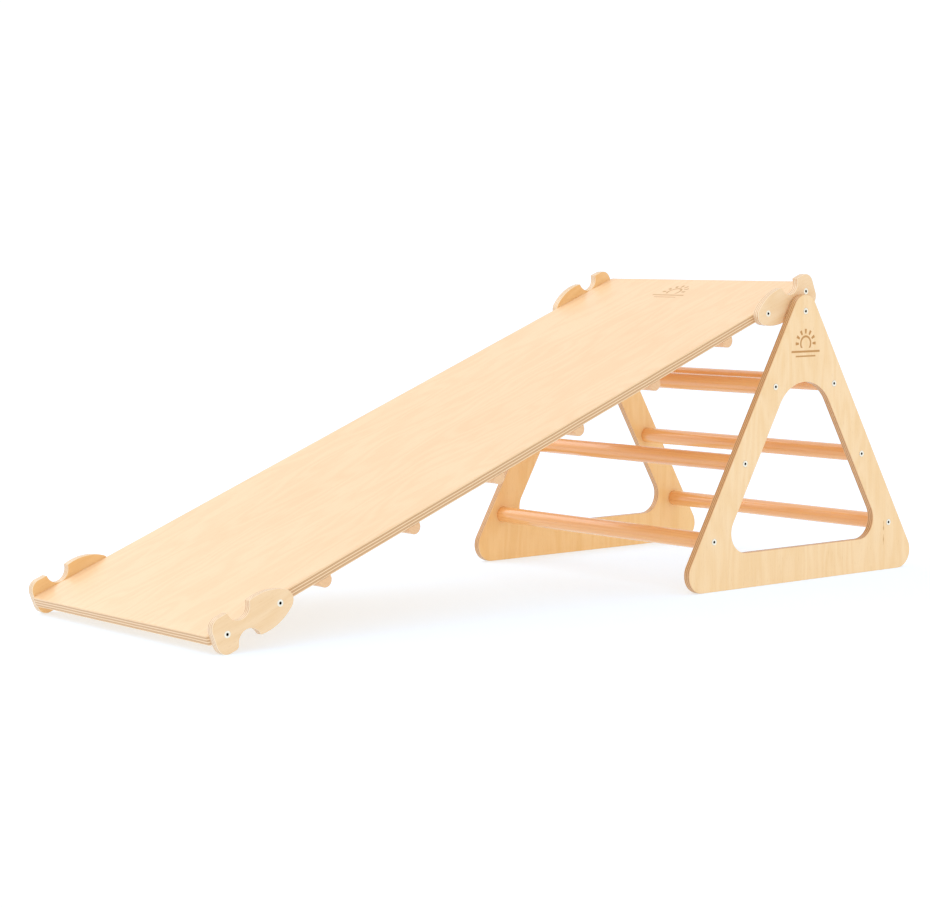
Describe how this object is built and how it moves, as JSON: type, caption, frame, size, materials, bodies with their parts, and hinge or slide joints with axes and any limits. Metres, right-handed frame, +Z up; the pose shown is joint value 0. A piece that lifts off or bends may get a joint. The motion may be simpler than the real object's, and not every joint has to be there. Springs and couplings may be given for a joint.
{
  "type": "toddler slide",
  "caption": "Toddler climbing triangle of rounded plywood panels and round rungs, with a long plywood slide ramp hooked over its apex rung and resting on the floor.",
  "frame": {"origin": "on the floor, under the middle of the whole object's footprint", "axes": "+X from the ramp's foot to the climbing side, +Y to the right of a child going down the ramp, +Z up"},
  "size_m": [1.6641, 0.63, 0.592],
  "materials": {
    "panel_plywood": "birch plywood, clear satin lacquer",
    "hook_plywood": "birch plywood, clear satin lacquer",
    "deck_plywood": "birch plywood, clear smooth lacquer",
    "rung_hardwood": "turned hardwood dowel, clear gloss lacquer",
    "cleat_hardwood": "hardwood dowel with one flat side, clear lacquer",
    "zinc_screw": "bright zinc plate",
    "zinc_insert": "zinc plate"
  },
  "bodies": {
    "frame": {"side_panel_left": "panel_plywood", "side_panel_right": "panel_plywood", "rung_slide_side_1": "rung_hardwood", "rung_slide_side_2": "rung_hardwood", "rung_slide_side_3": "rung_hardwood", "rung_climbing_side_1": "rung_hardwood", "rung_climbing_side_2": "rung_hardwood", "rung_climbing_side_3": "rung_hardwood", "rung_bolts_left": "zinc_screw", "rung_inserts_left": "zinc_insert", "rung_bolts_right": "zinc_screw", "rung_inserts_right": "zinc_insert"},
    "apex_rung": {"rung_apex": "rung_hardwood", "apex_bolts": "zinc_screw", "apex_inserts": "zinc_insert"},
    "ramp": {"ramp_board": "deck_plywood", "cleat_1": "cleat_hardwood", "cleat_2": "cleat_hardwood", "cleat_3": "cleat_hardwood", "cleat_4": "cleat_hardwood", "cleat_5": "cleat_hardwood", "cleat_6": "cleat_hardwood", "hook_plate_upper_left": "hook_plywood", "hook_plate_upper_right": "hook_plywood", "hook_plate_lower_left": "hook_plywood", "hook_plate_lower_right": "hook_plywood", "hook_screws_left": "zinc_screw", "hook_screws_right": "zinc_screw", "cleat_screws": "zinc_screw"}
  },
  "joints": [
    {"name": "ramp_swing", "type": "hinge", "parent": "frame", "child": "apex_rung", "pos_m": [0.52226, 0, 0.52123], "axis": [0, 1, 0], "range_deg": [0, 45]},
    {"name": "ramp_lift_off", "type": "slide", "parent": "apex_rung", "child": "ramp", "axis": [-0.3642, 0, 0.9313], "range_m": [0, 0.12]}
  ]
}
